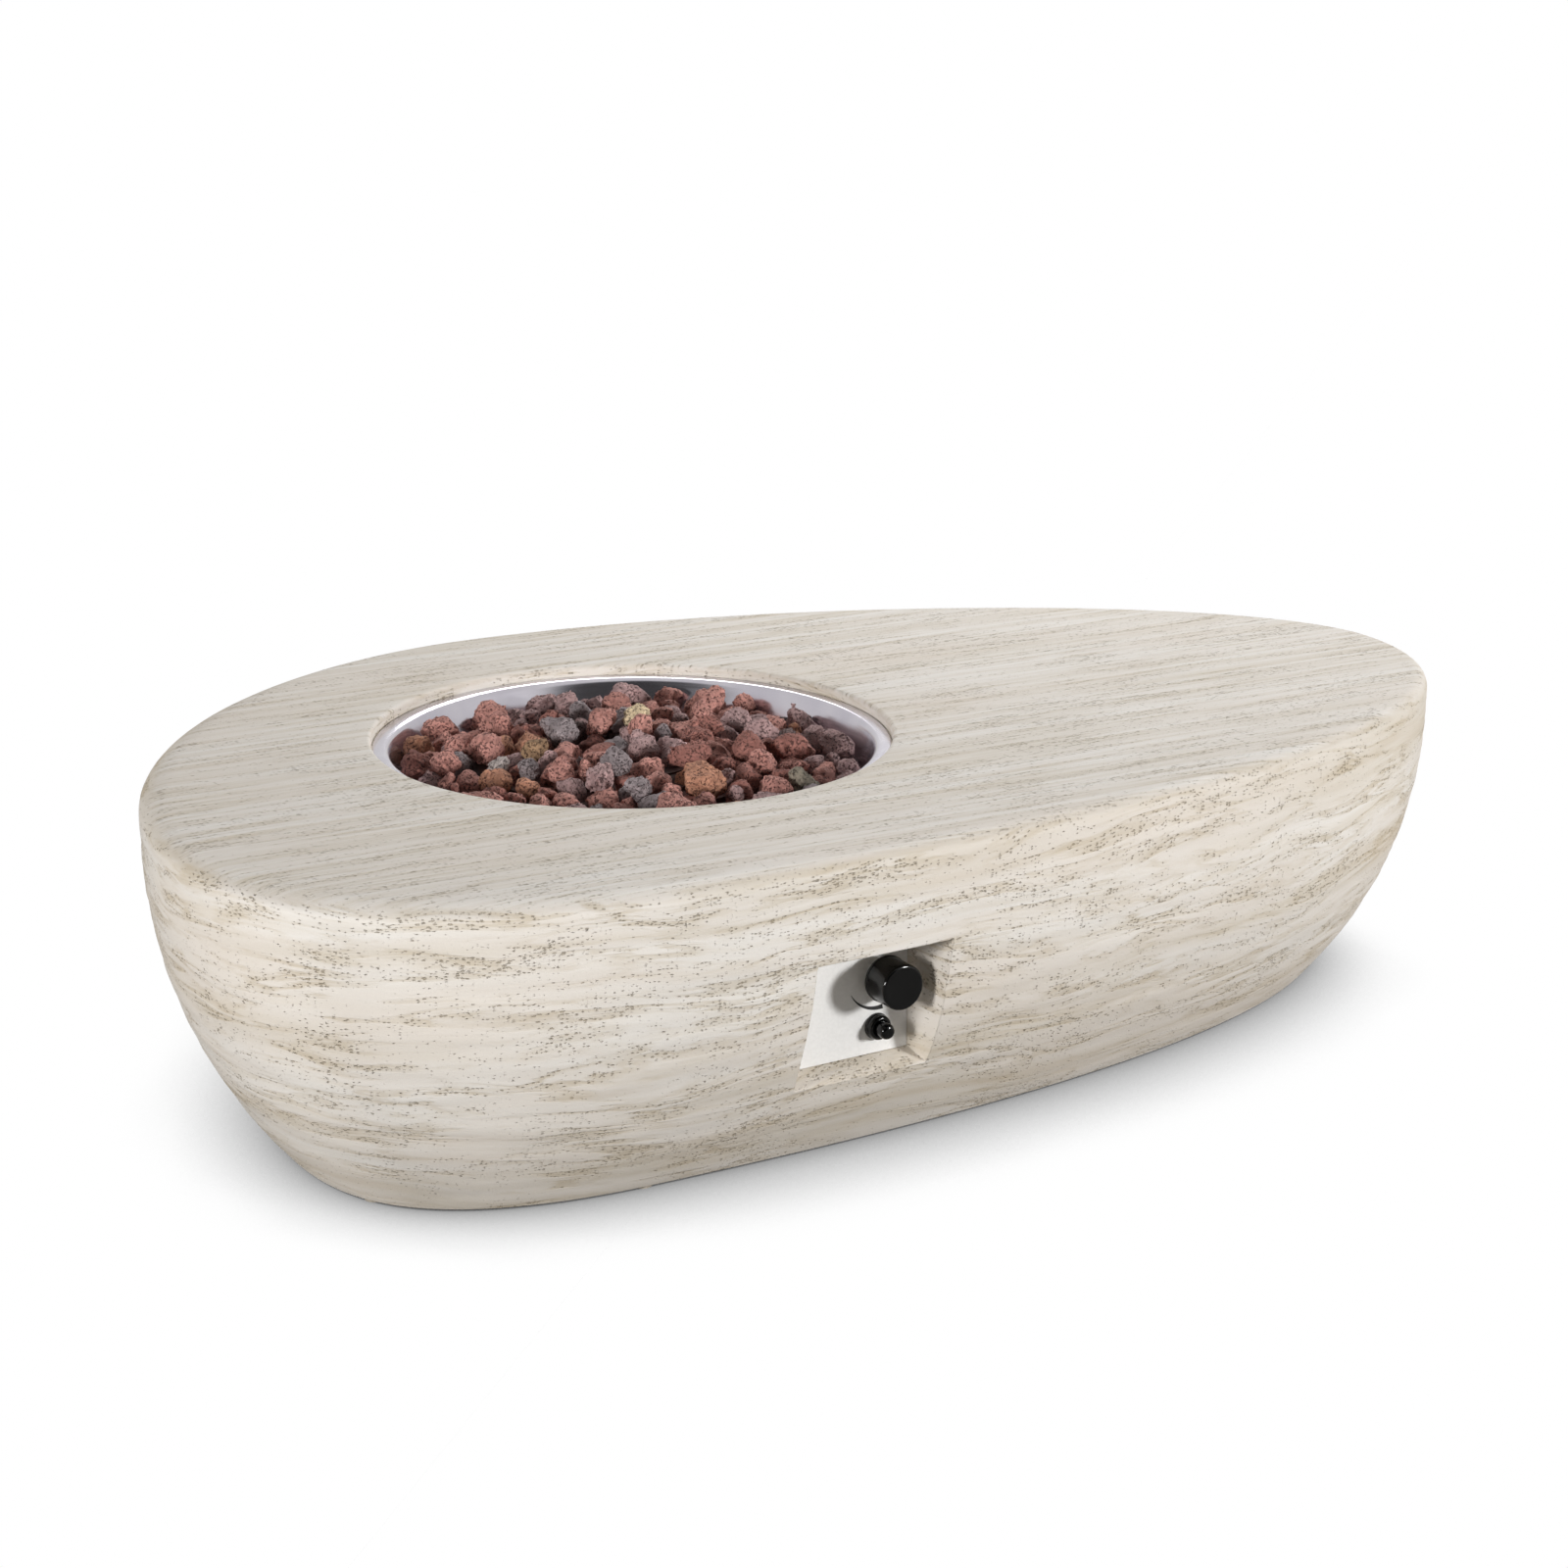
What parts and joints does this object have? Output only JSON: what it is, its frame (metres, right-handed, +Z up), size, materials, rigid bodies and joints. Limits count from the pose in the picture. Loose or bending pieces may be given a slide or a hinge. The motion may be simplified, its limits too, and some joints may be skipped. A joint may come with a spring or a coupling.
{
  "type": "gas fire pit table",
  "caption": "Low pebble-shaped cast-stone gas fire pit table with a round steel burner pan of lava stones, and a push-and-turn gas knob and push igniter in a side recess.",
  "frame": {"origin": "on the floor under the middle of the body's box", "axes": "+X along the length towards the narrow end, -Y towards the control recess, +Z up"},
  "size_m": [1.4, 0.87, 0.329],
  "materials": {
    "cast_stone": "matt cast stone with travertine bands and pits",
    "pad_rubber": "matt, pale grey",
    "stainless": "polished spun sheet",
    "burner_steel": "satin",
    "fitting_brass": "machined",
    "fastener_steel": "zinc plated",
    "tube_steel": "corrugated",
    "insulator": "glazed",
    "lead_rubber": "matt",
    "copper_lead": "drawn",
    "lava": "rough, full of small holes",
    "panel_paint": "satin white",
    "black_gloss": "polished",
    "black_plastic": "fine moulded",
    "battery_skin": "printed sleeve"
  },
  "bodies": {
    "table": {"table_shell": "cast_stone", "foot_pads": "pad_rubber", "burner_pan": "stainless", "burner_ring": "burner_steel", "burner_nipple": "fastener_steel", "nipple_nut": "fastener_steel", "air_mixer": "fitting_brass", "jet_elbow": "fitting_brass", "gas_tube": "tube_steel", "spark_ceramic": "insulator", "spark_rod": "burner_steel", "spark_lead": "lead_rubber", "thermocouple": "copper_lead", "thermocouple_lead": "copper_lead", "spark_guard": "burner_steel", "guard_screws": "fastener_steel", "lava_bed": "lava", "lava_stones": "lava", "control_panel": "panel_paint", "panel_screws": "fastener_steel", "valve_body": "fitting_brass", "valve_nut": "fastener_steel", "outlet_fitting": "fitting_brass", "inlet_fitting": "fitting_brass", "igniter_housing": "black_plastic", "igniter_cap": "black_plastic", "igniter_nut": "black_plastic", "igniter_battery": "battery_skin"},
    "valve_push": {"valve_plunger": "fastener_steel"},
    "knob": {"control_knob": "black_gloss", "valve_stem": "fastener_steel"},
    "button": {"igniter_button": "black_gloss"}
  },
  "joints": [
    {"name": "knob_push", "type": "slide", "parent": "table", "child": "valve_push", "axis": [-0.0523, 0.9986, 0], "range_m": [0, 0.006], "stiffness_N_per_m": 900, "springref_m": -0.004},
    {"name": "knob_turn", "type": "hinge", "parent": "valve_push", "child": "knob", "pos_m": [-0.12304, -0.36303, 0.177], "axis": [0.0523, -0.9986, 0], "range_deg": [0, 210]},
    {"name": "button_push", "type": "slide", "parent": "table", "child": "button", "axis": [-0.0523, 0.9986, 0], "range_m": [0, 0.004], "stiffness_N_per_m": 700, "springref_m": -0.003}
  ]
}
